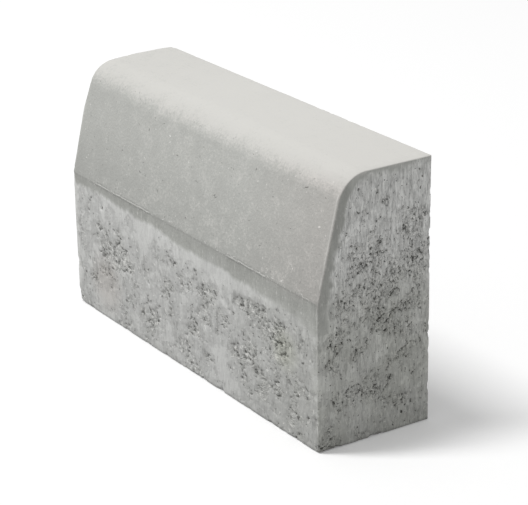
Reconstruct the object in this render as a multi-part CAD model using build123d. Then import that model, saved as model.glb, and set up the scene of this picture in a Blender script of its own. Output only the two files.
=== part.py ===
"""Concrete kerb stone, cast as one straight piece.

The section has an upright toe on the road side, a leaning face above it, a round nose and a flat top.
X runs along the kerb, the road side faces -Y and Z is up. The origin is the middle of the base.
"""

from build123d import *
import os

# The whole stone, in millimetres
kerb_length = 430
kerb_height = 250
base_width = 120

# The road face: the toe stands upright, and the face above it leans back to the nose
toe_height = 140
batter_setback = 27
nose_radius = 30

# The toe and the leaning face meet in a soft crease, and all other edges are slightly blunt
crease_radius = 30
arris_radius = 2


def section_across_the_kerb():
    """The outline up the road face, over the top and down the back, with its nose and crease rounded."""
    road_side = -base_width / 2
    back_side = base_width / 2
    corners = [
        (road_side, 0),
        (road_side, toe_height),
        (road_side + batter_setback, kerb_height),
        (back_side, kerb_height),
        (back_side, 0),
    ]
    corner_radii = [0, crease_radius, nose_radius, 0, 0]
    return make_face(FilletPolyline(corners, radius=corner_radii, close=True))


def kerb_stone():
    """The section carried along the length, with every sharp edge blunted to the arris radius."""
    stone = extrude(Plane.YZ * section_across_the_kerb(), amount=kerb_length / 2, both=True)
    rounded_faces = stone.faces().filter_by(GeomType.CYLINDER)
    smooth_seams = rounded_faces.edges().filter_by(Axis.X)
    sharp_edges = stone.edges() - smooth_seams
    return fillet(sharp_edges, arris_radius)


os.makedirs("parts", exist_ok=True)
export_step(kerb_stone(), "parts/kerb_stone.step")
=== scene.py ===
# %% [markdown]
# # A concrete kerb stone
# A kerb stone edges a road. It is pressed from two damp mixes of concrete in one steel mould: a coarse
# core, and a fine face mix on the top and on the leaning face towards the road. They set together, so the
# stone is one piece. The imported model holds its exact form. This lesson gives that form the skin that the
# press leaves: sandy and even on the face mix, dragged and full of small voids where the core slid up the
# walls of the mould.

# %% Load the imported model
import itertools
import math

import bpy
import numpy as np
from mathutils import Euler, Matrix, Vector


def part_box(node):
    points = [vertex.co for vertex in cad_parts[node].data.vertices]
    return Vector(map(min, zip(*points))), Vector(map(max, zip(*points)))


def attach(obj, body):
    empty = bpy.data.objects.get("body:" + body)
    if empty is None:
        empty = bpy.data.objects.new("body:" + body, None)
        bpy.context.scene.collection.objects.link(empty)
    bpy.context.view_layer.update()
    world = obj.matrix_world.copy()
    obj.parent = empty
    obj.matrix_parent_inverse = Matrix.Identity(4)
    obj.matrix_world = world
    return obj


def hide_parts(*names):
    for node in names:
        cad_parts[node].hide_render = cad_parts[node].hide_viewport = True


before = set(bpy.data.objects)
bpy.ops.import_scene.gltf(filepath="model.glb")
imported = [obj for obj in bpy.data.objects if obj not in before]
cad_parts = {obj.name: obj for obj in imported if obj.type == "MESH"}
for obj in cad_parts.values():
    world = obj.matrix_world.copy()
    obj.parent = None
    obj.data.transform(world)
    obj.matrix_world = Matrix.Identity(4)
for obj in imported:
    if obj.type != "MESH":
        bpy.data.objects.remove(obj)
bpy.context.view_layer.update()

# %% [markdown]
# ## Sizes
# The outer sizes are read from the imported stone. The section between them is an upright toe, a face that
# leans back, a round nose and a flat top. Its sizes are stated once here, in metres, as on a workshop
# drawing, and everything below is worked out from them.

# %% Sizes of the stone
low_corner, high_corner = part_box("kerb_stone")
kerb_length = high_corner.x - low_corner.x
base_width = high_corner.y - low_corner.y
kerb_height = high_corner.z - low_corner.z

toe_height = 0.140
batter_setback = 0.027
nose_radius = 0.030
crease_radius = 0.030

print(f"stone {kerb_length:.3f} x {base_width:.3f} x {kerb_height:.3f} m, toe {toe_height:.3f} m high")

# %% [markdown]
# ## The camera
# A product picture is taken with a long lens from above and to one side, so that the road face, the end and
# the top all show. The camera could be placed by hand, but a viewing angle, a distance and a target say
# more: turned about the target by the azimuth, lifted by the elevation, and tilted about its own axis by a
# degree of roll.

# %% Camera at the viewing angle
view_azimuth = math.radians(56.85)
view_elevation = math.radians(21.31)
view_roll = math.radians(-1.0)
view_target = Vector((0.042, 0.0, 0.1195))
view_distance = 1.896
focal_length_mm = 139.5
sensor_width_mm = 36.0


def add_to_scene(name, data):
    """A new object that holds this data, linked to the scene."""
    item = bpy.data.objects.new(name, data)
    bpy.context.scene.collection.objects.link(item)
    return item


def turned_and_placed(right, up, backwards, place):
    """The matrix that turns an object's own axes to right, up and backwards, and moves it to the place."""
    return Matrix.Translation(place) @ Matrix((right, up, backwards)).transposed().to_4x4()


def camera_at(azimuth, elevation, roll, target, distance):
    """A camera that looks at the target: backwards is the direction from the target to the camera."""
    backwards = Vector((
        math.sin(azimuth) * math.cos(elevation),
        -math.cos(azimuth) * math.cos(elevation),
        math.sin(elevation),
    ))
    level_right = Vector((math.cos(azimuth), math.sin(azimuth), 0.0))
    level_up = backwards.cross(level_right)
    right = math.cos(roll) * level_right + math.sin(roll) * level_up
    place = target + distance * backwards
    data = bpy.data.cameras.new("camera")
    data.sensor_width = sensor_width_mm
    data.lens = focal_length_mm
    camera = add_to_scene("camera", data)
    camera.matrix_world = turned_and_placed(right, backwards.cross(right), backwards, place)
    return camera


bpy.context.scene.camera = camera_at(view_azimuth, view_elevation, view_roll, view_target, view_distance)
bpy.context.scene.view_settings.view_transform = "Standard"
print("camera at", tuple(round(value, 3) for value in bpy.context.scene.camera.location))

# %% [markdown]
# ## The section line
# The road side, the nose and the top are one smooth line across the kerb: straight runs joined by arcs. It
# could be drawn with a curve object. Here it is a formula, because the relief needs the exact outward
# direction at each point. The lean of the line grows evenly along each arc and is constant on each run, so
# the lean is a row of straight segments over the distance along the line, and the line is the sum of small
# steps in that direction.

# %% The road side, the nose and the top as one line
section_step = 0.00005


def lean_along_section():
    """Distances where the lean starts or stops changing, and the lean there, from the foot to the top's back.

    The lean is 0 on the upright toe, the batter's angle on the leaning face and a right angle on the top.
    An arc of radius r that turns by an angle a is r * a long and takes r * tan(a / 2) off each run beside it.
    """
    batter_lean = math.atan2(batter_setback, kerb_height - toe_height)
    nose_turn = math.pi / 2 - batter_lean
    crease_cut = crease_radius * math.tan(batter_lean / 2)
    nose_cut = nose_radius * math.tan(nose_turn / 2)
    lengths = [
        toe_height - crease_cut,
        crease_radius * batter_lean,
        math.hypot(batter_setback, kerb_height - toe_height) - crease_cut - nose_cut,
        nose_radius * nose_turn,
        base_width - batter_setback - nose_cut,
    ]
    leans = [0, 0, batter_lean, batter_lean, math.pi / 2, math.pi / 2]
    return np.concatenate([[0], np.cumsum(lengths)]), np.array(leans)


section_marks, section_leans = lean_along_section()
section_walk = np.linspace(0, section_marks[-1], round(section_marks[-1] / section_step) + 1)
step_lean = np.interp((section_walk[1:] + section_walk[:-1]) / 2, section_marks, section_leans)
step_length = np.diff(section_walk)
section_y = -base_width / 2 + np.concatenate([[0], np.cumsum(step_length * np.sin(step_lean))])
section_z = np.concatenate([[0], np.cumsum(step_length * np.cos(step_lean))])


def on_section(distance):
    """Points (y, z) at these distances along the section line."""
    return np.stack([np.interp(distance, section_walk, part) for part in (section_y, section_z)], -1)


print("section line", round(section_marks[-1], 4), "m long, ends at", on_section(section_marks[-1:]).round(5))

# %% [markdown]
# ## The sharp stone as a grid
# The body is a ring of points across the kerb, carried along its length. Each end is a ruled surface:
# straight rows from the road side to the back, with as many rows on one side as on the other, so that the
# ends share the ring's points and the skin is closed. The grid is about a millimetre fine, because the
# voids are only a few millimetres wide. Sculpting by hand or a displacement modifier could carve them too,
# but arrays repeat exactly.

# %% Ring, body and end grids
grid_step = 0.00105
crease_step = 0.0005
crease_reach = 0.005
column_count = round(base_width / (1.2 * grid_step))
station_count = round(kerb_length / grid_step) + 1


def steps_between(start, end, step):
    """Even stops from start up to but not including end, about a step apart."""
    return np.linspace(start, end, round((end - start) / step), endpoint=False)


crease_middle = (section_marks[1] + section_marks[2]) / 2
road_stops = np.concatenate([
    steps_between(0, crease_middle - crease_reach, grid_step),
    steps_between(crease_middle - crease_reach, crease_middle + crease_reach, crease_step),
    steps_between(crease_middle + crease_reach, section_marks[-2], grid_step),
])
row_count = len(road_stops)


def ring_points():
    """The loop (y, z): up the road side, back over the top, down the back and forward along the base."""
    over = on_section(np.linspace(section_marks[-2], section_marks[-1], column_count + 1))[:-1]
    fall = np.linspace(kerb_height, 0, row_count + 1)[:-1]
    down = np.stack([np.full(row_count, base_width / 2), fall], -1)
    travel = np.linspace(base_width / 2, -base_width / 2, column_count + 1)[:-1]
    forward = np.stack([travel, np.zeros(column_count)], -1)
    return np.concatenate([on_section(road_stops), over, down, forward])


def ruled_end(ring):
    """Inner points (rows, columns, 2) of an end: row j joins road-side point j to back point j."""
    road_side = ring[1:row_count]
    back_side = ring[2 * row_count + column_count - 1:row_count + column_count:-1]
    share = np.linspace(0, 1, column_count + 1)[1:-1, None]
    return road_side[:, None] * (1 - share) + back_side[:, None] * share


def sharp_stone():
    """Points (n, 3) and four-cornered faces of the stone with sharp edges."""
    ring = ring_points()
    inner = ruled_end(ring)
    ring_size = len(ring)
    stations = np.linspace(-kerb_length / 2, kerb_length / 2, station_count)
    body = np.concatenate([np.repeat(stations, ring_size)[:, None], np.tile(ring, (station_count, 1))], 1)
    ends = [
        np.concatenate([np.full((inner.shape[0] * inner.shape[1], 1), x), inner.reshape(-1, 2)], 1)
        for x in (stations[0], stations[-1])
    ]
    index = np.arange(station_count * ring_size).reshape(station_count, ring_size)
    following = np.roll(index, -1, axis=1)
    body_faces = np.stack([index[:-1], index[1:], following[1:], following[:-1]], -1).reshape(-1, 4)
    faces = [body_faces]
    for number, first in ((0, 0), (1, (station_count - 1) * ring_size)):
        grid = np.empty((row_count + 1, column_count + 1), int)
        grid[:, 0] = first + np.arange(row_count + 1)
        grid[-1] = first + row_count + np.arange(column_count + 1)
        grid[:, -1] = first + 2 * row_count + column_count - np.arange(row_count + 1)
        grid[0] = first + (ring_size - np.arange(column_count + 1)) % ring_size
        inner_start = len(body) + number * len(ends[0])
        grid[1:-1, 1:-1] = inner_start + np.arange(len(ends[0])).reshape(inner.shape[:2])
        corners = [grid[:-1, :-1], grid[:-1, 1:], grid[1:, 1:], grid[1:, :-1]]
        if number == 0:
            corners.reverse()
        faces.append(np.stack(corners, -1).reshape(-1, 4))
    return np.concatenate([body, *ends]), np.concatenate(faces)


sharp_points, stone_faces = sharp_stone()
print("sharp stone:", len(sharp_points), "points,", len(stone_faces), "faces")

# %% [markdown]
# ## Repeatable noise
# Cast concrete has no pattern, but a script has to give the same stone each time. So the random numbers
# come from mixing whole-number coordinates with a seed: the same place always gives the same number.
# Blending them across a lattice gives soft noise, adding finer lattices gives clouds, and the distance to
# one random speck per cube gives voids and grains.

# %% Noise helpers
coordinate_primes = np.array([73856093, 19349663, 83492791], np.uint32)
lattice_turn = np.array(Euler((0.6, 0.5, 0.4)).to_matrix())
seed_prime = 2654435761
whole_range = 2.0 ** 32


def random_value(key, seed):
    """A random number from 0 to 1 for each whole-number key, by multiplying and shifting its bits."""
    mixed = key ^ np.uint32(seed * seed_prime % whole_range)
    for shift, prime in ((15, 0x2C1B3C6D), (12, 0x297A2D39)):
        mixed = (mixed ^ (mixed >> np.uint32(shift))) * np.uint32(prime)
    return (mixed ^ (mixed >> np.uint32(15))) / whole_range


def box_keys(whole):
    """One whole number per row of three, by adding prime multiples of them."""
    return (whole.astype(np.uint32) * coordinate_primes).sum(axis=1, dtype=np.uint32)


def step_key(step):
    """What a step of whole boxes adds to a key."""
    return box_keys(np.array([step]))[0]


def soft_noise(points, cell, seed):
    """Noise from 0 to 1: random corner values of boxes of size cell, blended with 3t^2 - 2t^3 on each axis.

    The lattice of boxes stands askew to the stone, so that no row of boxes shows as a line on a face.
    """
    place = points / np.asarray(cell) @ lattice_turn
    corner = np.floor(place)
    part = (place - corner).T
    weight = part * part * (3 - 2 * part)
    keys = box_keys(corner.astype(np.int64))
    total = np.zeros(len(points))
    for step in itertools.product((0, 1), repeat=3):
        share = math.prod(weight[axis] if far else 1 - weight[axis] for axis, far in enumerate(step))
        total += share * random_value(keys + step_key(step), seed)
    return total


def cloud_noise(points, cell, seed, octaves=3):
    """Noise from 0 to 1: octaves of soft noise added up, each with half the cell and half the weight."""
    cell = np.asarray(cell, float)
    total = sum(soft_noise(points, cell / 2 ** k, seed + k) / 2 ** k for k in range(octaves))
    return total / sum(1 / 2 ** k for k in range(octaves))


def nearest_speck(points, cell, seed):
    """Distance to the nearest speck, in cells, and that speck's random number, with one speck per box."""
    place = points / np.asarray(cell)
    home = np.floor(place).astype(np.int64)
    part = (place - home).T
    keys = box_keys(home)
    nearest = np.full(len(points), np.inf)
    number = np.zeros(len(points))
    for step in itertools.product((-1, 0, 1), repeat=3):
        box = keys + step_key(step)
        distance = sum((step[axis] + random_value(box, seed + axis) - part[axis]) ** 2 for axis in range(3))
        closer = distance < nearest
        nearest = np.where(closer, distance, nearest)
        number = np.where(closer, random_value(box, seed + 3), number)
    return np.sqrt(nearest), number


def ramp(value, start, end):
    """0 before start and 1 after end, with 3t^2 - 2t^3 between."""
    t = np.clip((value - start) / (end - start), 0, 1)
    return t * t * (3 - 2 * t)


print("noise at the origin", soft_noise(np.zeros((1, 3)), 0.01, 1).round(3))

# %% [markdown]
# ## Blunt and worn edges
# No edge of a cast stone is sharp. A Bevel modifier would round them all alike, but here the radius changes
# from place to place. So the rounding is a formula. Each point knows how deep it lies under each of the
# four smooth faces (the road side with nose and top, the base, the back and the end). Where it is nearer
# than the radius to two or three of them, the missing depths are scaled until it lies on a ball of that
# radius.

# %% Depth under each face, and the rounding
section_samples = 700


def depth_under_section(y, z):
    """Depth of (y, z) under the road side, nose and top, and the outward direction there.

    Both come from the nearest sample of the line: the depth is measured along its outward direction.
    """
    distance = np.linspace(0, section_marks[-1], section_samples)
    line = on_section(distance)
    lean = np.interp(distance, section_marks, section_leans)
    outward = np.stack([-np.cos(lean), np.sin(lean)], -1)
    nearest = np.full(len(y), np.inf)
    choice = np.zeros(len(y), int)
    for number, point in enumerate(line):
        away = np.hypot(y - point[0], z - point[1])
        closer = away < nearest
        nearest[closer] = away[closer]
        choice[closer] = number
    offset = np.stack([y, z], -1) - line[choice]
    return -(offset * outward[choice]).sum(axis=1), outward[choice]


def face_depths(points):
    """Depth under the four smooth faces (n, 4) and their outward directions (n, 4, 3)."""
    pairs, back = np.unique(points[:, 1:].round(9), axis=0, return_inverse=True)
    depth, direction = depth_under_section(pairs[:, 0], pairs[:, 1])
    back = back.ravel()
    depths = np.stack([
        depth[back],
        points[:, 2],
        base_width / 2 - points[:, 1],
        kerb_length / 2 - np.abs(points[:, 0]),
    ], -1)
    outward = np.zeros((len(points), 4, 3))
    outward[:, 0, 1:] = direction[back]
    outward[:, 1, 2] = -1
    outward[:, 2, 1] = 1
    outward[:, 3, 0] = np.sign(points[:, 0])
    return np.maximum(depths, 0), outward


stone_depths, stone_outward = face_depths(sharp_points)
print("deepest point under the road side:", stone_depths[:, 0].max().round(4))

# %% [markdown]
# ## How blunt each place is
# The mould's corners are sharp, so most edges of the stone are only a little blunt. They lose crumbs when
# the mould is stripped, most of all along the foot, and two corners and the far end of the nose are worn
# away. Flat cuts would look machined. Here noise says where the crumbs are missing, and each worn place is
# listed and adds to the radius round it.

# %% Edge radii
edge_radius = 0.0012
edge_cell = 0.012
edge_least, edge_swing = 0.7, 0.6
crumb_radius = 0.0042
crumb_cell = 0.009
crumb_line = (0.60, 0.78)
foot_zone = (0.03, 0.08)
above_foot_less = 0.75
nicked_heights = ((0.125, 0.155), (0.225, 0.195))
nicked_edge = (0.040, 0.055)
nicked_more = 0.35
corner_wear = [
    # middle in shares of the length, width and height, radius added, reach
    (Vector((-0.5, -0.5, 0.0)), 0.0030, 0.016),
    (Vector((-0.5, 0.5, 1.0)), 0.0018, 0.012),
    (Vector((-0.5, -0.2, 0.955)), 0.0060, 0.044),
]


def edge_radii(points):
    """Radius of the edges near each point: a small one, the missing crumbs, and the listed wear.

    A listed place adds its whole radius near its middle, and less and less out to its reach.
    """
    radius = edge_radius * (edge_least + edge_swing * cloud_noise(points, edge_cell, 11))
    coarse_edge = 1 - above_foot_less * ramp(points[:, 2], *foot_zone)
    nicked_stretch = math.prod(ramp(points[:, 2], *heights) for heights in nicked_heights)
    coarse_edge += nicked_more * nicked_stretch * ramp(points[:, 1], *nicked_edge)
    radius += crumb_radius * coarse_edge * ramp(cloud_noise(points, crumb_cell, 12), *crumb_line)
    size = np.array([kerb_length, base_width, kerb_height])
    for share, extra, reach in corner_wear:
        distance = np.linalg.norm(points - np.array(share) * size, axis=1)
        radius += extra * (1 - ramp(distance, 0.3 * reach, reach))
    return radius


def round_edges(points, depths, outward, radius):
    """Points and outward directions with the edges rounded to the radius."""
    missing = np.maximum(radius[:, None] - depths, 0)
    length = np.linalg.norm(missing, axis=1)
    kept = missing * (radius / length)[:, None]
    shift = ((missing - kept)[:, :, None] * -outward).sum(axis=1)
    direction = (missing[:, :, None] * outward).sum(axis=1)
    direction /= np.linalg.norm(direction, axis=1)[:, None]
    return points + shift, direction


blunt_radii = edge_radii(sharp_points)
blunt_points, blunt_outward = round_edges(sharp_points, stone_depths, stone_outward, blunt_radii)
print("edge radii from", blunt_radii.min().round(5), "to", blunt_radii.max().round(5))

# %% [markdown]
# ## Where the face mix ends
# The face mix is a layer some nine millimetres thick under the top and the leaning face. On the road side
# it runs past the crease and ends in a ragged, dragged edge, and on the ends and at the top of the back it
# shows as a strip. One formula in space gives all of these: the mix is where the depth under the road side
# is less than a thickness that fades out below the crease.

# %% Face mix as a mask
mix_thickness = 0.0118
top_mix_thickness = 0.0055
top_mix_heights = (0.235, 0.25)
thickness_cell = 0.012
thickness_least, thickness_swing = 0.55, 0.9
mix_fade = 0.0042
band_depth = 0.0152
band_swing = 0.018
band_cell = 0.070
band_widening = 0.7
fade_below, fade_above = 0.004, 0.002
near_drop = 0.011
near_drop_stretch = (0.145, 0.215)
streak_swing = 0.005
streak_cell = (0.004, 0.004, 0.030)


def face_mix_mask(points, depths):
    """1 in the face mix and 0 in the core.

    The depth of the band's lower edge below the crease swings with noise along the kerb and grows towards
    the near end, and the edge has short upright streaks.
    """
    along = points * np.array([1.0, 0.0, 0.0])
    ragged = cloud_noise(along + np.array([0.0, 0.3, 0.1]), band_cell, 21, octaves=5) - 0.5
    widening = 1.0 + band_widening * points[:, 0] / kerb_length
    lower_edge = toe_height - (band_depth + band_swing * ragged) * widening
    lower_edge -= near_drop * ramp(points[:, 0], *near_drop_stretch)
    lower_edge -= streak_swing * (cloud_noise(points, streak_cell, 24) - 0.5)
    upright = ramp(points[:, 2], lower_edge - fade_below, lower_edge + fade_above)
    thickness = mix_thickness + (top_mix_thickness - mix_thickness) * ramp(points[:, 2], *top_mix_heights)
    unevenness = thickness_least + thickness_swing * cloud_noise(points, thickness_cell, 23)
    thickness = upright * thickness * unevenness
    return upright * ramp(thickness - depths[:, 0], 0.0, mix_fade)


face_mix = face_mix_mask(blunt_points, stone_depths)
print("face mix covers", face_mix.mean().round(3), "of the points")

# %% [markdown]
# ## Where the core's skin tore
# The core slides up the steel walls as the stone is pushed out of the mould. Cement paste smears into
# smooth plates, and between them the damp mix stays open and rough. Noise alone would spread the rough
# places evenly. So each place that is plainly rougher or smoother on the real stone is listed, with its
# middle and its reach.

# %% Rough and smooth places
toe_places = [
    # x, z, reach in millimetres, and how much more (+) or less (-) torn
    (-153, 81, 11, 0.34), (-135, 66, 11, 0.34), (-117, 77, 10, 0.34), (-168, 98, 8, 0.24),
    (-131, 97, 8, 0.24), (-190, 98, 16, -0.24), (-162, 52, 14, 0.16), (-35, 103, 10, 0.20),
    (-34, 76, 11, 0.20), (-12, 86, 12, 0.20), (-64, 52, 13, 0.12), (-28, 50, 7, 0.26), (-66, 34, 12, 0.26),
    (-106, 29, 12, 0.20), (-84, 30, 12, 0.20), (-5, 26, 14, 0.22), (32, 24, 7, 0.34), (12, 47, 7, 0.36),
    (34, 90, 12, 0.34), (50, 100, 8, 0.34), (17, 105, 8, 0.16), (27, 72, 10, 0.18), (60, 70, 16, 0.16),
    (76, 49, 9, 0.36), (92, 101, 13, 0.38), (112, 104, 9, 0.34), (105, 56, 10, 0.36), (116, 66, 12, 0.22),
    (131, 101, 10, 0.34), (130, 88, 10, 0.24), (154, 98, 12, 0.34), (150, 120, 13, -0.34),
    (156, 78, 16, 0.26), (185, 94, 12, 0.22), (182, 50, 12, 0.34), (150, 47, 16, 0.24), (175, 25, 14, 0.26),
    (124, 26, 20, 0.12), (75, 116, 20, -0.34), (110, 119, 16, -0.30), (40, 117, 17, -0.34),
    (0, 120, 16, -0.24), (24, 113, 12, -0.26), (-40, 123, 9, -0.26), (-140, 122, 30, -0.14),
    (-75, 118, 26, -0.20), (91, 76, 10, -0.24), (5, 70, 10, -0.16), (52, 34, 13, -0.24),
    (-150, 18, 22, -0.22), (-35, 24, 10, -0.16), (76, 12, 12, -0.18), (-205, 50, 10, -0.20),
]
end_places = [
    # y, z, reach in millimetres, and how much more (+) or less (-) torn
    (8, 148, 50, 0.02), (-10, 40, 45, 0.02), (12, 219, 5, 0.60), (-10, 213, 4, 0.45), (-3, 198, 8, 0.24),
    (4, 177, 12, 0.26), (-13, 167, 12, 0.30), (-22, 146, 12, 0.28), (-37, 134, 9, 0.26), (1, 145, 12, 0.22),
    (8, 130, 14, 0.28), (26, 148, 14, 0.28), (36, 182, 12, 0.34), (46, 197, 9, 0.34), (47, 160, 12, 0.26),
    (38, 122, 12, 0.26), (28, 102, 13, 0.22), (3, 106, 16, 0.22), (-26, 120, 12, 0.20), (-38, 98, 11, 0.16),
    (-48, 78, 9, 0.28), (-12, 50, 11, 0.30), (-42, 54, 10, 0.18), (-38, 40, 11, 0.30), (34, 68, 11, 0.26),
    (28, 30, 10, 0.26), (16, 28, 13, 0.20), (-44, 8, 12, 0.32), (50, 30, 8, 0.12), (-46, 116, 9, -0.20),
    (12, 82, 10, -0.18), (46, 42, 10, -0.18), (-20, 30, 9, -0.18),
]
print(len(toe_places), "places on the toe and", len(end_places), "on the end")

# %% [markdown]
# ## How far the skin tore
# The listed places and the noise add up to one number: how ready the skin is to tear. It is lowered beside
# the edges of the road side and high up, where the real skin is smoother, and raised a little on the hidden
# walls. Two lines are drawn through it. Above the lower one the plates turn dull, and above the higher one
# the skin is torn.

# %% Dull and torn masks
hidden_walls_more = 0.10
near_end_reach = 0.02
top_zone_calm = 0.22
top_zone_heights = (0.198, 0.222)
margin_calm = 0.25
margin_depths = (0.014, 0.004)
margin_heights = (0.015, 0.030)
cloud_cell = (0.015, 0.012, 0.012)
cloud_contrast = 0.95
fine_cell = (0.0045, 0.0035, 0.0035)
fine_contrast = 0.35
place_weight = 1.25
dull_line = (0.38, 0.56)
tear_line = (0.48, 0.86)
end_top_dull = 0.8
top_dull_heights = (0.195, 0.225)


def readiness(points, depths):
    """How ready the skin is to tear: clouds of noise, changed near the listed places, near edges and high up.

    A listed place changes it by its last number times the weight times exp(-distance^2 / reach^2), and its
    lengths are turned from millimetres to metres.
    """
    ready = 0.5 + cloud_contrast * (cloud_noise(points, cloud_cell, 33, octaves=4) - 0.5)
    ready += fine_contrast * (cloud_noise(points, fine_cell, 38, octaves=2) - 0.5)
    toe = [(x / 1000, -base_width / 2, z / 1000, reach / 1000, change) for x, z, reach, change in toe_places]
    end = [(kerb_length / 2, y / 1000, z / 1000, reach / 1000, change) for y, z, reach, change in end_places]
    for *middle, reach, change in np.array(toe + end):
        away = ((points - np.array(middle)) ** 2).sum(axis=1)
        ready += place_weight * change * np.exp(-away / reach ** 2)
    on_road_side = ramp(points[:, 1], 0.0, -base_width / 2)
    on_near_end = ramp(points[:, 0], kerb_length / 2 - near_end_reach, kerb_length / 2)
    ready += hidden_walls_more * (1 - np.maximum(on_road_side, on_near_end))
    ready -= top_zone_calm * ramp(points[:, 2], *top_zone_heights)
    beside_front_edge = ramp(np.maximum(depths[:, 0], depths[:, 3]), *margin_depths)
    return ready - margin_calm * beside_front_edge * ramp(points[:, 2], *margin_heights)


core = 1 - face_mix
ready = readiness(blunt_points, stone_depths)
torn = ramp(ready, *tear_line) * core
dull = np.maximum(ramp(ready, *dull_line), end_top_dull * ramp(blunt_points[:, 2], *top_dull_heights)) * core
shares = [(mask.sum() / core.sum()).round(3) for mask in (dull, torn)]
print("shares of the core that are dull and torn:", shares)

# %% [markdown]
# ## The skin of the core
# A torn patch lies a little below the plates, is rough inside, and opens into voids where the mix was short
# of paste. Rounder air holes sit alone on the plates. Each is a depth under the plain face. The voids are
# taken where a rough noise is highest, which gives odd, joined shapes as in the real stone, where a ball
# for each void would look like drill holes.

# %% Patches, voids and air holes
patch_depth = 0.0005
patch_rough = 0.0008
rough_cell = (0.0034, 0.0028, 0.0028)
open_patch = (0.10, 0.30)
void_line = (0.78, 0.64)
slope_below, slope_above = 0.02, 0.06
void_depth = 0.0014
air_hole_cell = (0.017, 0.017, 0.021)
air_hole_depth = 0.0018
least_air_hole = 0.06
air_hole_spread = 0.09
air_hole_slope = 0.06
empty_cells = 0.45
wobble_cell = 0.004
wobble_reach = 0.003
sag_cell = 0.070
sag_depth = 0.0006


def core_skin(points, torn):
    """Depth of the core's relief, and how deep in a void each point is, from 0 to 1.

    A void opens where noise is above a line, which is lower in torn patches. An air hole is a wobbly ball
    around a speck. Each has its own depth, and the depths are added.
    """
    rough = cloud_noise(points, rough_cell, 41, octaves=2)
    opens_at = void_line[0] + (void_line[1] - void_line[0]) * torn
    void = ramp(torn, *open_patch) * ramp(rough, opens_at - slope_below, opens_at + slope_above)
    wobble = np.stack([soft_noise(points, wobble_cell, seed) for seed in (51, 52, 53)], -1) - 0.5
    distance, number = nearest_speck(points + wobble_reach * wobble, air_hole_cell, 54)
    air_hole = ramp(least_air_hole + air_hole_spread * number - distance, 0.0, air_hole_slope)
    air_hole = air_hole * (number > empty_cells)
    depth = (
        sag_depth * soft_noise(points, sag_cell, 61)
        + torn * (patch_depth + patch_rough * rough)
        + void_depth * void
        + air_hole_depth * air_hole
    )
    return depth, np.maximum(void, air_hole)


core_depth, void = core_skin(blunt_points, torn)
void = void * core
print("core relief", core_depth.max().round(5), "m deep, share in voids", (void > 0.5).mean().round(4))

# %% [markdown]
# ## The skin of the face mix
# The stamp leaves the face mix even, with a faint swell. Its sandy grain and the thin ridge on the crease
# are too fine for the grid and are left to the material. The band below the crease lies a little deeper,
# because the mould wall dragged it. Both skins are then pressed into the blunt stone against the outward
# direction at each point.

# %% Swell of the face mix, and the finished points
swell_cell = 0.050
swell_depth = 0.0004
ridge_line = toe_height - 0.0003
band_sink = 0.0004
band_sink_height = 0.002


def mix_skin(points):
    """Depth of the face mix's relief: a faint swell, and the band below the crease a little deeper."""
    sink = band_sink * ramp(points[:, 2], ridge_line, ridge_line - band_sink_height)
    return swell_depth * soft_noise(points, swell_cell, 71) + sink


skin_depth = core_depth * core + mix_skin(blunt_points) * face_mix
stone_points = blunt_points - blunt_outward * skin_depth[:, None]
print("skin depth from", skin_depth.min().round(5), "to", skin_depth.max().round(5))

# %% [markdown]
# ## The mesh
# The arrays go into a mesh in one step. That fine grid has over half a million triangles, and most of them
# lie on even faces that need few. A Decimate modifier spends the triangles where the relief is, so the
# voids stay crisp while the plain faces thin out. Its result is kept as the finished mesh, at the origin
# and unturned.

# %% Build the stone and thin it
triangle_budget = 190000
end_border = (0.003, 0.001)
road_side_border = (0.0015, 0.0005)
bloom_slope = (0.10, 0.92)
skin_masks = {
    "face_mix": face_mix,
    "torn": torn,
    "dull": dull,
    "void": void,
    "on_end": ramp(stone_depths[:, 3], *end_border),
    "road_side": ramp(stone_depths[:, 0], *road_side_border),
    "bloom": ramp(stone_outward[:, 0, 2], *bloom_slope),
}


def mesh_from_arrays(name, points, faces, masks):
    """A smooth mesh with these points and four-cornered faces, and one number per point for each mask."""
    mesh = bpy.data.meshes.new(name)
    mesh.vertices.add(len(points))
    mesh.vertices.foreach_set("co", points.astype(np.float32).ravel())
    mesh.loops.add(faces.size)
    mesh.loops.foreach_set("vertex_index", faces.astype(np.int32).ravel())
    mesh.polygons.add(len(faces))
    mesh.polygons.foreach_set("loop_start", np.arange(0, faces.size, 4, dtype=np.int32))
    mesh.polygons.foreach_set("use_smooth", np.ones(len(faces), bool))
    mesh.update(calc_edges=True)
    for mask, values in masks.items():
        mesh.attributes.new(mask, "FLOAT", "POINT").data.foreach_set("value", values.astype(np.float32))
    return mesh


def thinned(mesh, budget):
    """The mesh with about this many triangles, thinned where it is even."""
    source = add_to_scene("fine_stone", mesh)
    thin = source.modifiers.new("thin", "DECIMATE")
    thin.ratio = budget / (2 * len(mesh.polygons))
    graph = bpy.context.evaluated_depsgraph_get()
    result = bpy.data.meshes.new_from_object(source.evaluated_get(graph), depsgraph=graph)
    bpy.data.objects.remove(source)
    bpy.data.meshes.remove(mesh)
    return result


stone_mesh = thinned(mesh_from_arrays("fine_stone", stone_points, stone_faces, skin_masks), triangle_budget)
stone_mesh.name = "cast_kerb_stone"
stone = add_to_scene("cast_kerb_stone", stone_mesh)
stone_mesh.calc_loop_triangles()
print("stone mesh:", len(stone_mesh.vertices), "points,", len(stone_mesh.loop_triangles), "triangles")

# %% [markdown]
# ## Shader helpers
# A material is a tree of nodes, and every one in this lesson is built from a few kinds. These helpers add
# one node each and feed its inputs, so that a finish reads as sums and mixes of colours and masks. A mask
# is a number from 0 to 1 over the surface. The nodes could also be placed by hand in the shader editor, but
# a script can give each number a name.

# %% Helpers for node trees


def feed(tree, sockets, values):
    """Links each socket to its value where that is a socket too, and sets it to the value otherwise."""
    for socket, value in zip(sockets, values):
        if isinstance(value, bpy.types.NodeSocket):
            tree.links.new(value, socket)
        else:
            socket.default_value = value


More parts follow.
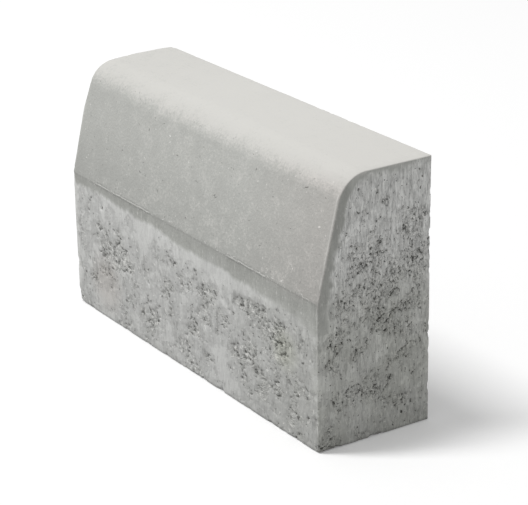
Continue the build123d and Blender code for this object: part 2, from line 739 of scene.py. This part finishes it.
def add_node(tree, kind, settings=None, **inputs):
    """A node with these settings, and with its inputs fed by name."""
    node = tree.nodes.new(kind)
    for name, value in (settings or {}).items():
        setattr(node, name, value)
    feed(tree, [node.inputs[name.replace("_", " ")] for name in inputs], inputs.values())
    return node


def calculate(tree, operation, first, second=0.0):
    """The result of a Math node, where first and second are sockets or numbers."""
    node = tree.nodes.new("ShaderNodeMath")
    node.operation = operation
    feed(tree, node.inputs, (first, second))
    return node.outputs[0]


def times(tree, first, second):
    """The product of two values."""
    return calculate(tree, "MULTIPLY", first, second)


def plus(tree, first, second):
    """The sum of two values."""
    return calculate(tree, "ADD", first, second)


def minus(tree, first, second):
    """The first value less the second."""
    return calculate(tree, "SUBTRACT", first, second)


def around_one(tree, value, strength):
    """1 plus the value times the strength."""
    return plus(tree, times(tree, value, strength), 1.0)


def remap(tree, value, low, high, new_low=0.0, new_high=1.0):
    """The value's range low to high stretched to new_low to new_high, and held outside it."""
    node = add_node(
        tree, "ShaderNodeMapRange", Value=value, From_Min=low, From_Max=high, To_Min=new_low, To_Max=new_high
    )
    return node.outputs[0]


def between(tree, mask, first, second):
    """The first value where the mask is 0, the second where it is 1, and a mix of them between."""
    return remap(tree, mask, 0.0, 1.0, first, second)


def mix_colours(tree, factor, first, second, blend="MIX"):
    """The first colour turned into the second by the factor."""
    node = tree.nodes.new("ShaderNodeMix")
    node.data_type = "RGBA"
    node.blend_type = blend
    feed(tree, (node.inputs[0], node.inputs[6], node.inputs[7]), (factor, first, second))
    return node.outputs[2]


def scaled_by(tree, colour, factor):
    """The colour multiplied by another colour, or by a grey of this value."""
    return mix_colours(tree, 1.0, colour, factor, "MULTIPLY")


def use_group(tree, group, *values):
    """The outputs of a node group placed here with these input values."""
    node = tree.nodes.new("ShaderNodeGroup")
    node.node_tree = group
    feed(tree, node.inputs, values)
    return node.outputs


print("node helpers ready")

# %% [markdown]
# ## Noise on the stone
# All patterns come from one noise texture, read at the stone's own coordinates, so they stay put on it from
# any side. A Mapping node scales the coordinates first. Where the upright one is halved, the spots look drawn
# out upright, as all marks are that slid along a mould wall. The spots are counted per metre, so each scale
# says at once how large they are.

# %% Noise for the material
noise_roughness = 0.6


def stretched_place(tree, upright, lengthwise=1.0):
    """Object coordinates scaled upright and along the kerb: below 1, noise read there is drawn out."""
    place = add_node(tree, "ShaderNodeTexCoord").outputs["Object"]
    return add_node(tree, "ShaderNodeMapping", Vector=place, Scale=(lengthwise, 1.0, upright)).outputs[0]


def noise_at(tree, place, per_metre, detail, roughness=noise_roughness, distortion=0.0):
    """Noise from 0 to 1 at the place, with so many spots per metre."""
    node = add_node(
        tree, "ShaderNodeTexNoise", Vector=place, Scale=per_metre, Detail=detail, Roughness=roughness,
        Distortion=distortion,
    )
    return node.outputs[0]


def centred_noise(tree, per_metre, detail=3.0, upright=1.0):
    """Noise around 0 on Object coordinates."""
    return minus(tree, noise_at(tree, stretched_place(tree, upright), per_metre, detail), 0.5)


print("noise has a roughness of", noise_roughness)

# %% [markdown]
# ## Sand grain
# Both mixes show their sand as fine light and dark specks. It is far finer than the mesh, so it is made in
# the material. As the face mix and the core both use it, each with its own values, it is a node group with
# named inputs and outputs.

# %% Node group: sand grain


def group_with(name, inputs, outputs):
    """An empty node group with these number inputs and outputs, and its two end nodes."""
    tree = bpy.data.node_groups.new(name, "ShaderNodeTree")
    for names, direction in ((inputs, "INPUT"), (outputs, "OUTPUT")):
        for socket in names:
            tree.interface.new_socket(socket, in_out=direction, socket_type="NodeSocketFloat")
    return tree, tree.nodes.new("NodeGroupInput").outputs, tree.nodes.new("NodeGroupOutput").inputs


def sand_grain_group():
    """Specks: noise around 0, as a shade around 1 and as a height."""
    tree, given, result = group_with("sand_grain", ["Grains per metre", "Contrast"], ["Shade", "Height"])
    spread = minus(tree, noise_at(tree, stretched_place(tree, 1.0), given[0], 2.0, 0.65), 0.5)
    feed(tree, result, (around_one(tree, spread, given[1]), spread))
    return tree


sand_grain = sand_grain_group()
print("group", sand_grain.name, "with", len(sand_grain.nodes), "nodes")

# %% [markdown]
# ## Small voids and drag marks
# Between the voids of the mesh lie many smaller ones, a millimetre or two wide. They are the low places of
# a noise that is drawn out a little, and its high places are loose pale grains, which the material paints
# lighter, partly as a painted highlight. The drag marks are a noise that is drawn out far more, into
# upright lines.

# %% Node groups: small voids and drag marks
small_void_line = (0.22, 0.41)
small_crumb_line = (0.80, 0.57)
void_border = 0.055
crumb_border = 0.065
void_stretch = (0.75, 0.6)
drag_shares = ((1.0, 0.24), (0.45, 0.20))


def small_void_group():
    """Voids where noise is below a line, crumbs where it is above another. Cover moves both lines inwards."""
    tree, given, result = group_with("small_voids", ["Voids per metre", "Cover"], ["Void", "Crumb", "Height"])
    rough = noise_at(tree, stretched_place(tree, *void_stretch), given[0], 2.5, distortion=0.5)
    below = minus(tree, between(tree, given[1], *small_void_line), rough)
    above = minus(tree, rough, between(tree, given[1], *small_crumb_line))
    hollow = remap(tree, below, 0.0, void_border)
    crumb = remap(tree, above, 0.0, crumb_border)
    feed(tree, result, (hollow, crumb, minus(tree, rough, 0.5)))
    return tree


def drag_mark_group():
    """Upright lines around 0: the sum of a fine and a broad noise, each drawn out by its own share."""
    tree, given, result = group_with("drag_marks", ["Lines per metre"], ["Line"])
    fine, broad = [
        noise_at(tree, stretched_place(tree, upright), times(tree, given[0], share), 2.0, 0.7, 0.3)
        for share, upright in drag_shares
    ]
    feed(tree, result, [minus(tree, plus(tree, fine, broad), 1.0)])
    return tree


small_voids = small_void_group()
drag_marks = drag_mark_group()
print("groups", small_voids.name, "and", drag_marks.name)

# %% [markdown]
# ## The ridge on the crease
# Along the crease, where the stamp meets the mould's wall, damp mix squeezes into the gap and sets as a
# thin ridge with crumbs on it. Some stretches have it, and others show only a soft change of tone. It is
# too thin for the mesh, so it is a line in the material: the place where the height above the base is near
# a level that wanders with noise along the kerb. Two more noises break it into pieces and make it beady.

# %% Ridge, painted shadow lines and crumbs
# In colour the ridge is paler, partly from its pale crumbs and partly as a painted highlight, and thin lines
# beside it are darkened as painted shadow.
ridge_stretches = [
    # from, to along the kerb
    (-0.178, -0.055), (0.060, 0.144), (0.186, 0.220),
]
stretch_fade = 0.012
stretch_weight = 0.32
wander_noise, gap_noise, bead_noise = (60.0, 4.0), (90.0, 4.0), (330.0, 1.0)
ridge_wander = 0.0036
ridge_half_width = 0.0008
break_line = (0.69, 0.79)
bead_line = (0.35, 0.60)
bead_low = 0.30
crisp_border = 0.0005
soft_border = 0.0090
ridge_shadow_distance = 0.0016
crease_crumbs_per_metre = 420.0
crumb_reach = 0.0040
crumb_share = 0.8


def thin_line(tree, away, half_width):
    """1 on a line and 0 past its half width, where away is the distance from the line."""
    return remap(tree, away, half_width, 0.3 * half_width)


def crease_ridge(tree, masks, axes):
    """The broken ridge with its crumbs, thin lines of painted shadow beside it, and its stamped side, each 0
    to 1.

    Where the ridge is missing, outside the listed stretches, the stamped side fades out slowly.
    """
    along = add_node(tree, "ShaderNodeCombineXYZ", X=axes["X"]).outputs[0]
    wander, gaps, beads = [
        noise_at(tree, along, per_metre, detail, 0.7)
        for per_metre, detail in (wander_noise, gap_noise, bead_noise)
    ]
    level = plus(tree, times(tree, wander, ridge_wander), ridge_line - ridge_wander / 2)
    above = minus(tree, axes["Z"], level)
    away = calculate(tree, "ABSOLUTE", above)
    inside = 0.0
    for start, end in ridge_stretches:
        half = (end - start) / 2
        past = calculate(tree, "ABSOLUTE", minus(tree, axes["X"], (start + end) / 2))
        inside = plus(tree, remap(tree, past, half, half - stretch_fade), inside)
    on_road_side = times(tree, masks["face_mix"], remap(tree, masks["on_end"], 0.0, 0.5, 1.0, 0.0))
    unbroken = remap(tree, plus(tree, gaps, times(tree, inside, stretch_weight)), *break_line)
    present = times(tree, unbroken, on_road_side)
    softness = between(tree, unbroken, soft_border, crisp_border)
    stamped_here = remap(tree, calculate(tree, "DIVIDE", above, softness), -1.0, 0.5)
    beady = remap(tree, beads, *bead_line, bead_low, 1.0)
    ridge = times(tree, thin_line(tree, away, ridge_half_width), beady)
    beside = calculate(tree, "ABSOLUTE", minus(tree, away, ridge_shadow_distance))
    ridge_shadow = thin_line(tree, beside, ridge_half_width)
    loose = use_group(tree, small_voids, crease_crumbs_per_metre, 1.0)["Crumb"]
    crumbs = times(tree, loose, thin_line(tree, away, crumb_reach))
    crumbs = times(tree, crumbs, times(tree, on_road_side, crumb_share))
    raised = calculate(tree, "MAXIMUM", times(tree, ridge, present), crumbs)
    return raised, times(tree, ridge_shadow, present), stamped_here


print("ridge along", round(sum(end - start for start, end in ridge_stretches), 3), "m of the kerb")

# %% [markdown]
# ## The stamped face mix
# The stamp closes the face mix on the top and the leaning face. As it dries, a pale bloom settles where it
# lies flat, so the top is nearly plain, and the leaning face is a greenish grey with sand grain, pinholes
# and a few loose grains. The border on the nose is where noise and the mesh's bloom mask together pass a
# line, which makes it grainy. A plain gradient would look sprayed on.

# %% Colour of the stamped mix
top_bloom_colour = (0.678, 0.670, 0.638, 1.0)
batter_colour = (0.560, 0.565, 0.536, 1.0)
# Near black: painted shade inside voids and pinholes, and the tone that the grey smears on the core lean to.
hole_shade_and_smear_colour = (0.085, 0.085, 0.078, 1.0)
# Pale grains and scratches, also used for the painted highlight on the ridge and on the rims beside the ends.
crumb_and_highlight_colour = (0.920, 0.915, 0.880, 1.0)
mix_specks_per_metre = 300.0
mix_speck_cover = 0.54
pinhole_share = 0.6
loose_line = (-0.04, 0.08)
mottle_per_metre = 60.0
mottle_contrast = 0.20
grain_in_bloom = 1.5
bloom_border = (0.10, 0.80)
far_bloom_stretch = (-0.20, -0.06)
far_bloom_lag = 0.16
batter_heights = (0.150, 0.205)
low_batter_shade = 0.880
high_batter_shade = 1.02
# Painted shade towards the near end.
near_shade_stretch = (0.08, 0.20)
near_painted_shade_tint = (0.945, 0.917, 0.917, 1.0)
far_stretch = (-0.17, -0.05)
far_shade = 0.975


def stamped_mix(tree, masks, axes, grain, calm):
    """Colour of the top and the leaning face. Grains, pinholes and mottle fade out where calm is low.

    Bloom turns the leaning face's colour into the top's. The leaning face is darker low down and at the far
    end, and has painted shade at the near end, darker and a little warmer.
    """
    speck = use_group(tree, small_voids, mix_specks_per_metre, mix_speck_cover)
    mottle = centred_noise(tree, mottle_per_metre)
    spotted = plus(tree, times(tree, grain["Height"], grain_in_bloom), mottle)
    lag = remap(tree, axes["X"], *far_bloom_stretch, far_bloom_lag, 0.0)
    bloom = remap(tree, minus(tree, plus(tree, masks["bloom"], spotted), lag), *bloom_border)
    batter_shade = remap(tree, axes["Z"], *batter_heights, low_batter_shade, high_batter_shade)
    colour = mix_colours(tree, bloom, scaled_by(tree, batter_colour, batter_shade), top_bloom_colour)
    # Loose pale grains, partly a painted highlight.
    loose = times(tree, speck["Crumb"], remap(tree, grain["Height"], *loose_line))
    colour = mix_colours(tree, times(tree, loose, calm), colour, crumb_and_highlight_colour)
    # Pinholes darkened as painted shade.
    pinhole = times(tree, speck["Void"], pinhole_share)
    colour = mix_colours(tree, times(tree, pinhole, calm), colour, hole_shade_and_smear_colour)
    colour = scaled_by(tree, colour, around_one(tree, times(tree, mottle, calm), mottle_contrast))
    # Painted shade: the leaning face darker and warmer towards the near end.
    nearness = times(tree, remap(tree, axes["X"], *near_shade_stretch), calm)
    colour = mix_colours(tree, nearness, colour, scaled_by(tree, colour, near_painted_shade_tint))
    return scaled_by(tree, colour, remap(tree, axes["X"], *far_stretch, far_shade, 1.0))


print("top", top_bloom_colour[:3], "leaning face", batter_colour[:3])

# %% [markdown]
# ## The dragged face mix
# In the band below the crease, and in the strips on the ends and at the top of the back, a mould wall
# dragged the face mix as the stone was pushed out. It is darker there, with upright lines, pale scratches
# and soft blotches. The two parts of the face mix share their sand grain, and the ridge on the crease says
# where one gives way to the other.

# %% Colour of the dragged mix, and the whole face mix
moulded_mix_colour = (0.458, 0.464, 0.436, 1.0)
mix_line_contrast = 0.28
band_heights = (0.119, 0.136)
low_band_shade = 1.06
high_band_shade = 0.965
scratches_per_metre = 420.0
scratch_stretch = 0.3
scratch_line = (0.11, 0.21)
scratch_share = 0.45
band_blotches_per_metre = 75.0
band_blotch_contrast = 0.45
end_mix_shade = 0.91
top_strip_heights = (0.238, 0.248)
top_strip_shade = 1.16
mix_grains_per_metre = 400.0
mix_grain_contrast = 0.20
mix_grain_height = 0.0005
top_calm = 0.15


def dragged_mix(tree, masks, line, axes):
    """Colour of the mix that a wall dragged: the band is paler lower down, and the end's strip is darker."""
    colour = scaled_by(tree, moulded_mix_colour, around_one(tree, line, mix_line_contrast))
    colour = scaled_by(tree, colour, remap(tree, axes["Z"], *band_heights, low_band_shade, high_band_shade))
    scratch = centred_noise(tree, scratches_per_metre, 2.0, scratch_stretch)
    colour = mix_colours(tree, remap(tree, scratch, *scratch_line, 0.0, scratch_share), colour, crumb_and_highlight_colour)
    blotch = centred_noise(tree, band_blotches_per_metre, upright=0.4)
    colour = scaled_by(tree, colour, around_one(tree, blotch, band_blotch_contrast))
    colour = scaled_by(tree, colour, between(tree, masks["on_end"], 1.0, end_mix_shade))
    return scaled_by(tree, colour, remap(tree, axes["Z"], *top_strip_heights, 1.0, top_strip_shade))


def face_mix_finish(tree, masks, line, axes, stamped_here):
    """Colour and height of the face mix: stamped or dragged, with sand grain that is faint on the top."""
    grain = use_group(tree, sand_grain, mix_grains_per_metre, mix_grain_contrast)
    calm = remap(tree, masks["bloom"], 0.5, 1.0, 1.0, top_calm)
    stamped = stamped_mix(tree, masks, axes, grain, calm)
    dragged = dragged_mix(tree, masks, line, axes)
    colour = mix_colours(tree, times(tree, masks["road_side"], stamped_here), dragged, stamped)
    rise = times(tree, times(tree, grain["Height"], calm), mix_grain_height)
    return scaled_by(tree, colour, between(tree, calm, 1.0, grain["Shade"])), rise


print("dragged mix", moulded_mix_colour[:3])

# %% [markdown]
# ## The plates and patches of the core
# The core is grey cement paste round coarse sand. Where the wall smoothed it, it is a pale plate with
# upright lines, duller where little paste was left. Where it tore, the sand shows. The mesh's masks are
# softer than real borders, so noise is added to each, and the sum is cut between two values close together.
# That makes the borders ragged without a finer mesh.

# %% Colour of the core before its small voids
plate_colour = (0.767, 0.770, 0.750, 1.0)
torn_colour = (0.590, 0.592, 0.571, 1.0)
plate_heights = (0.020, 0.115)
low_plate_shade = 0.90
dull_shade = 0.84
end_torn_mix = 0.45
torn_noise = (170.0, 2.4)
torn_border = (0.30, 0.75)
dull_noise = (130.0, 1.6)
dull_border = (0.32, 0.60)
clouds_per_metre = 55.0
cloud_shade = 0.20
smears_per_metre = 125.0
smear_stretch = 0.55
smear_line = (0.085, 0.165)
smear_share = 0.25
end_smear_share = 0.4
smear_heights = (0.125, 0.105)
broad_lines_per_metre = 300.0
broad_line_contrast = (0.14, 0.28)
toe_line_contrast = 0.30
end_line_heights = (0.05, 0.18)
end_line_contrast = (0.75, 1.30)
end_shade = 1.09


def ragged_mask(tree, mask, noise, border):
    """The mask with noise of this scale and strength added, cut between the two values of the border."""
    per_metre, strength = noise
    return remap(tree, plus(tree, mask, times(tree, centred_noise(tree, per_metre), strength)), *border)


def core_ground(tree, masks, line, axes, torn_here, dull_here):
    """Colour of the plates and torn patches, with clouds, short grey smears and upright drag lines."""
    on_end = masks["on_end"]
    plate = scaled_by(tree, plate_colour, remap(tree, axes["Z"], *plate_heights, low_plate_shade, 1.0))
    plate = scaled_by(tree, plate, between(tree, dull_here, 1.0, dull_shade))
    greyer = times(tree, torn_here, between(tree, on_end, 1.0, end_torn_mix))
    colour = mix_colours(tree, greyer, plate, torn_colour)
    cloud = centred_noise(tree, clouds_per_metre, upright=0.5)
    colour = scaled_by(tree, colour, around_one(tree, cloud, cloud_shade))
    smear = centred_noise(tree, smears_per_metre, 2.0, smear_stretch)
    smear = remap(tree, smear, *smear_line, 0.0, smear_share)
    smear = times(tree, smear, between(tree, on_end, 1.0, end_smear_share))
    smear = times(tree, smear, remap(tree, axes["Z"], *smear_heights))
    colour = mix_colours(tree, smear, colour, hole_shade_and_smear_colour)
    end_contrast = remap(tree, axes["Z"], *end_line_heights, *end_line_contrast)
    fine_part = times(tree, line, between(tree, on_end, toe_line_contrast, end_contrast))
    broad = use_group(tree, drag_marks, broad_lines_per_metre)["Line"]
    broad_part = times(tree, broad, between(tree, dull_here, *broad_line_contrast))
    colour = scaled_by(tree, colour, around_one(tree, plus(tree, fine_part, broad_part), 1.0))
    return scaled_by(tree, colour, between(tree, on_end, 1.0, end_shade))


print("plates", plate_colour[:3], "torn patches", torn_colour[:3])

# %% [markdown]
# ## The small voids of the core
# Torn patches are full of small voids with loose white grains beside them, and a few lie on the plates
# too. They could all be carved into the mesh, but that would take millions of triangles. So they are the
# node group of small voids, in colour and as bump, and they are laid over the larger voids of the mesh,
# whose borders are made ragged in the same way. All the voids are coloured near black as painted shade.
# The white grains are pale in themselves and partly a painted highlight, most of all on the shaded end.

# %% The whole core
toe_voids_per_metre = 350.0
end_voids_per_metre = 430.0
plate_cover = (0.24, 0.78)
end_plate_cover = 0.70
torn_cover = 0.92
# How strongly the colour follows the sand's relief, as painted shade.
toe_relief_shade = 0.9
end_relief_shade = 1.5
void_noise = (520.0, 2.6)
void_edge = (0.66, 0.98)
void_share = 0.95
toe_void_share = 0.72
flecks_per_metre = 560.0
fleck_cover = (0.45, 1.0)
toe_fleck_share = 0.8
void_rise = (0.0003, 0.0036)
dents_per_metre = 95.0
dent_rise = (0.0002, 0.0013)
line_rise = 0.0006
core_grains_per_metre = 600.0
core_grain_contrast = 0.16


def core_finish(tree, masks, line, axes):
    """Colour and height of the core: ground, sand and voids with painted shade, pale grains with painted
    highlight.
    """
    on_end = masks["on_end"]
    grain = use_group(tree, sand_grain, core_grains_per_metre, core_grain_contrast)
    torn_here = ragged_mask(tree, masks["torn"], torn_noise, torn_border)
    dull_here = ragged_mask(tree, masks["dull"], dull_noise, dull_border)
    plain_cover = between(tree, on_end, between(tree, dull_here, *plate_cover), end_plate_cover)
    cover = between(tree, torn_here, plain_cover, torn_cover)
    voids_per_metre = between(tree, on_end, toe_voids_per_metre, end_voids_per_metre)
    speck = use_group(tree, small_voids, voids_per_metre, cover)
    colour = core_ground(tree, masks, line, axes, torn_here, dull_here)
    # Painted shade of the sand's relief: darker where the bump is low and lighter where it is high, strongest
    # on the shaded end. The sand is also mottled in itself.
    relief_shade = times(tree, speck["Height"], torn_here)
    roughness = between(tree, on_end, toe_relief_shade, end_relief_shade)
    colour = scaled_by(tree, colour, around_one(tree, times(tree, relief_shade, roughness), 1.0))
    # The mesh's voids and the small voids are coloured near black as painted shade.
    broken = times(tree, ragged_mask(tree, masks["void"], void_noise, void_edge), void_share)
    hollow = calculate(tree, "MAXIMUM", broken, speck["Void"])
    hollow = times(tree, hollow, between(tree, on_end, toe_void_share, 1.0))
    colour = mix_colours(tree, hollow, colour, hole_shade_and_smear_colour)
    # On the shaded end, extra pale flecks: pale grains, partly a painted highlight.
    fleck = use_group(tree, small_voids, flecks_per_metre, between(tree, torn_here, *fleck_cover))["Crumb"]
    light = calculate(tree, "MAXIMUM", speck["Crumb"], times(tree, fleck, on_end))
    light = times(tree, light, between(tree, on_end, toe_fleck_share, 1.0))
    colour = mix_colours(tree, light, colour, crumb_and_highlight_colour)
    rise = times(tree, speck["Height"], between(tree, torn_here, *void_rise))
    dents = times(tree, centred_noise(tree, dents_per_metre, 2.0), between(tree, dull_here, *dent_rise))
    lines = times(tree, times(tree, line, on_end), line_rise)
    rise = plus(tree, rise, plus(tree, dents, lines))
    return scaled_by(tree, colour, grain["Shade"]), rise


print("voids per metre", toe_voids_per_metre, "on the toe and", end_voids_per_metre, "on the ends")

# %% [markdown]
# ## Darkening low down, stains, painted shade and painted highlight
# The near end of the core is darker low down, and two faint stains, one warm and one olive, lie on the
# toe. A thin dark line of painted shade runs along the foot, where the stone meets the floor, and a painted
# highlight lies on the long faces beside both ends.
# Each is a mask of its own: a height, a distance or a stretch of the kerb, with noise where the real one
# has no clear border.

# %% Stains, darkening, painted shade and painted highlight
# Darker low down towards the near end.
low_near_tint = (0.712, 0.717, 0.688, 1.0)
low_near_heights = (0.17, 0.11)
low_near_stretch = (0.06, 0.18)
low_near_clouds_per_metre = 24.0
low_near_cloud_line = (-0.20, 0.05)
lightest_low_near_share = 0.6
toe_low_near_share = 0.45
stains = [
    # x, z, reach, tint
    (-0.155, 0.038, 0.036, (0.975, 0.943, 0.928, 1.0)),
    (0.163, 0.080, 0.024, (0.992, 1.000, 0.940, 1.0)),
]
# Painted shade along the foot, where the stone meets the floor.
foot_shade_heights = (0.0005, 0.0035)
foot_painted_shade = 0.72
# Painted highlight on the rims of the long faces beside both ends.
highlight_rim_width = 0.0034
highlight_rim_share = 0.80
top_highlight_share = 0.2


def distance_to(tree, axes, x, z):
    """Distance from the line through (x, z) that runs straight across the kerb."""
    aside = minus(tree, axes["X"], x)
    above = minus(tree, axes["Z"], z)
    return calculate(tree, "SQRT", plus(tree, *(times(tree, part, part) for part in (aside, above))))


def stained_and_shaded_core(tree, masks, axes, colour):
    """The core's colour with its stains, its painted shade along the foot, and darker low down at the near
    end.
    """
    for x, z, reach, tint in stains:
        stain = remap(tree, distance_to(tree, axes, x, z), reach, 0.4 * reach)
        stain = times(tree, stain, masks["road_side"])
        colour = mix_colours(tree, stain, colour, scaled_by(tree, colour, tint))
    # Painted shade: a thin dark line along the foot, where the stone meets the floor.
    colour = scaled_by(tree, colour, remap(tree, axes["Z"], *foot_shade_heights, foot_painted_shade, 1.0))
    # Darker low down towards the near end, more on the end than on the toe, broken up by clouds.
    low_near = times(tree, remap(tree, axes["Z"], *low_near_heights), remap(tree, axes["X"], *low_near_stretch))
    cloud = centred_noise(tree, low_near_clouds_per_metre)
    low_near = times(tree, low_near, remap(tree, cloud, *low_near_cloud_line, lightest_low_near_share, 1.0))
    low_near = times(tree, low_near, between(tree, masks["on_end"], toe_low_near_share, 1.0))
    return mix_colours(tree, low_near, colour, scaled_by(tree, colour, low_near_tint))


def painted_edge_highlight(tree, masks, axes):
    """A painted highlight: the pale rim of the long faces beside both ends, fainter on the top."""
    from_middle = calculate(tree, "ABSOLUTE", axes["X"])
    rim = remap(tree, from_middle, kerb_length / 2 - highlight_rim_width, kerb_length / 2 - 0.5 * highlight_rim_width)
    rim = times(tree, rim, remap(tree, masks["on_end"], 0.0, 0.9, highlight_rim_share, 0.0))
    return times(tree, rim, remap(tree, masks["bloom"], 0.3, 0.9, 1.0, top_highlight_share))


print("stains at", [(x, z) for x, z, reach, tint in stains])

# %% [markdown]
# ## The concrete as one material
# The two mixes set together, so the stone has one material. The mesh's masks choose between the finish of
# the face mix and that of the core, and the ridge and the painted highlight beside the ends go over both.
# One Bump node turns the summed height, in metres, into fine relief, and one Principled shader gives the
# matt surface of dry concrete.

# %% Build the concrete and put it on the stone
lines_per_metre = 620.0
ridge_shadow_shade = 0.84
ridge_highlight_share = 0.65
ridge_height = 0.0005
surface_roughness = 0.92


def emptied_tree(owner):
    """The node tree of a material or of a world's sky, without nodes."""
    owner.use_nodes = True
    owner.node_tree.nodes.clear()
    return owner.node_tree


def concrete_material():
    """The stone's one material, which reads the masks that the mesh carries."""
    material = bpy.data.materials.new("concrete")
    tree = emptied_tree(material)
    masks = {
        name: add_node(tree, "ShaderNodeAttribute", {"attribute_name": name}).outputs["Fac"]
        for name in skin_masks
    }
    line = use_group(tree, drag_marks, lines_per_metre)["Line"]
    place = add_node(tree, "ShaderNodeTexCoord").outputs["Object"]
    axes = add_node(tree, "ShaderNodeSeparateXYZ", Vector=place).outputs
    ridge, ridge_shadow, stamped_here = crease_ridge(tree, masks, axes)
    mix_colour, mix_rise = face_mix_finish(tree, masks, line, axes, stamped_here)
    core_colour, core_rise = core_finish(tree, masks, line, axes)
    core_colour = stained_and_shaded_core(tree, masks, axes, core_colour)
    colour = mix_colours(tree, masks["face_mix"], core_colour, mix_colour)
    # Painted shadow: thin dark lines beside the ridge.
    colour = scaled_by(tree, colour, between(tree, ridge_shadow, 1.0, ridge_shadow_shade))
    # Painted highlight on the ridge, with its pale crumbs, and on the rims beside both ends.
    light = calculate(tree, "MAXIMUM", painted_edge_highlight(tree, masks, axes), times(tree, ridge, ridge_highlight_share))
    colour = mix_colours(tree, light, colour, crumb_and_highlight_colour)
    rise = add_node(tree, "ShaderNodeMix", Factor=masks["face_mix"])
    feed(tree, (rise.inputs[2], rise.inputs[3]), (core_rise, mix_rise))
    height = plus(tree, rise.outputs[0], times(tree, ridge, ridge_height))
    bump = add_node(tree, "ShaderNodeBump", Height=height, Distance=1.0)
    surface = add_node(
        tree, "ShaderNodeBsdfPrincipled", Base_Color=colour, Normal=bump.outputs[0],
        Roughness=surface_roughness,
    )
    add_node(tree, "ShaderNodeOutputMaterial", Surface=surface.outputs[0])
    return material


concrete = concrete_material()
stone_mesh.materials.clear()
stone_mesh.materials.append(concrete)
print("material on", stone.name, "with", len(concrete.node_tree.nodes), "nodes")

# %% [markdown]
# ## The floor
# The stone stands on a plain white floor. A floor that is white to the camera would throw so much light
# back that the shaded end looks lit from below. So the floor is white only to rays from the camera, and a
# softer pale grey to the light that bounces, and it still shows the stone's shadow.

# %% Floor
floor_half_width = 12.0
floor_bounce_colour = (0.60, 0.60, 0.60, 1.0)
floor_seen_colour = (0.95, 0.95, 0.95, 1.0)
floor_seen_lift = 0.12


def seen_directly(tree):
    """1 for rays from the camera, and for those that a shiny or clear surface passes on."""
    path = tree.nodes.new("ShaderNodeLightPath").outputs
    shiny = plus(tree, path["Is Glossy Ray"], path["Is Transmission Ray"])
    return calculate(tree, "MINIMUM", plus(tree, path["Is Camera Ray"], shiny), 1.0)


def floor_material():
    """A matt floor that is white to the camera and pale grey to the light that bounces."""
    material = bpy.data.materials.new("floor")
    tree = emptied_tree(material)
    seen = seen_directly(tree)
    floor_colour = mix_colours(tree, seen, floor_bounce_colour, floor_seen_colour)
    matt = add_node(tree, "ShaderNodeBsdfDiffuse", Color=floor_colour)
    lift = add_node(tree, "ShaderNodeEmission", Strength=times(tree, seen, floor_seen_lift))
    both = tree.nodes.new("ShaderNodeAddShader")
    feed(tree, both.inputs, (matt.outputs[0], lift.outputs[0]))
    add_node(tree, "ShaderNodeOutputMaterial", Surface=both.outputs[0])
    return material


def make_floor():
    """A flat square floor under the stone."""
    half = floor_half_width
    mesh = bpy.data.meshes.new("floor")
    corners = [(-half, -half, 0), (half, -half, 0), (half, half, 0), (-half, half, 0)]
    mesh.from_pydata(corners, [], [(0, 1, 2, 3)])
    mesh.materials.append(floor_material())
    floor = add_to_scene("floor", mesh)


make_floor()
print("floor", 2 * floor_half_width, "m wide")

# %% [markdown]
# ## Sky and lamp
# Product pictures use one large lamp and soft light from all sides. Here a white sky gives the soft light,
# and one long, narrow lamp stands high up on the left. Its length makes the far end of the short shadow
# soft, and its narrowness keeps the shadow's front edge crisp. A sun lamp would give one hard edge all the
# way round.

# %% Sky and lamp
sky_strength = 0.44
lamp_elevation = math.radians(70.0)
lamp_distance = 7.0
lamp_width = 0.9
lamp_length = 3.0
lamp_power = 277.0


def make_sky():
    """A white sky of even strength, which the camera sees as pure white."""
    world = bpy.data.worlds.new("sky")
    bpy.context.scene.world = world
    tree = emptied_tree(world)
    strength = between(tree, seen_directly(tree), sky_strength, 1.0)
    sky = add_node(tree, "ShaderNodeBackground", Strength=strength, Color=(1.0, 1.0, 1.0, 1.0))
    add_node(tree, "ShaderNodeOutputWorld", Surface=sky.outputs[0])


def make_lamp():
    """A long lamp that shines on the stone from the camera's left, high up.

    Its own axes are: width level and sideways to the light, length upright, backwards away from the stone.
    """
    straight_up = Vector((0.0, 0.0, 1.0))
    level = Vector((-math.cos(view_azimuth), -math.sin(view_azimuth), 0.0))
    backwards = math.cos(lamp_elevation) * level + math.sin(lamp_elevation) * straight_up
    sideways = straight_up.cross(level)
    upright = backwards.cross(sideways)
    data = bpy.data.lights.new("lamp", "AREA")
    data.shape = "RECTANGLE"
    data.size = lamp_width
    data.size_y = lamp_length
    data.energy = lamp_power
    lamp = add_to_scene("lamp", data)
    lamp.matrix_world = turned_and_placed(sideways, upright, backwards, lamp_distance * backwards)


make_sky()
make_lamp()
print("sky", sky_strength, "and lamp", lamp_power, "W at", round(math.degrees(lamp_elevation)), "degrees")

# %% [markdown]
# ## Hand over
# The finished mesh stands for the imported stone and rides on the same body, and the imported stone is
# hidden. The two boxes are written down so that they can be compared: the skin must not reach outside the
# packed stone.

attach(stone, "root")
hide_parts("kerb_stone")
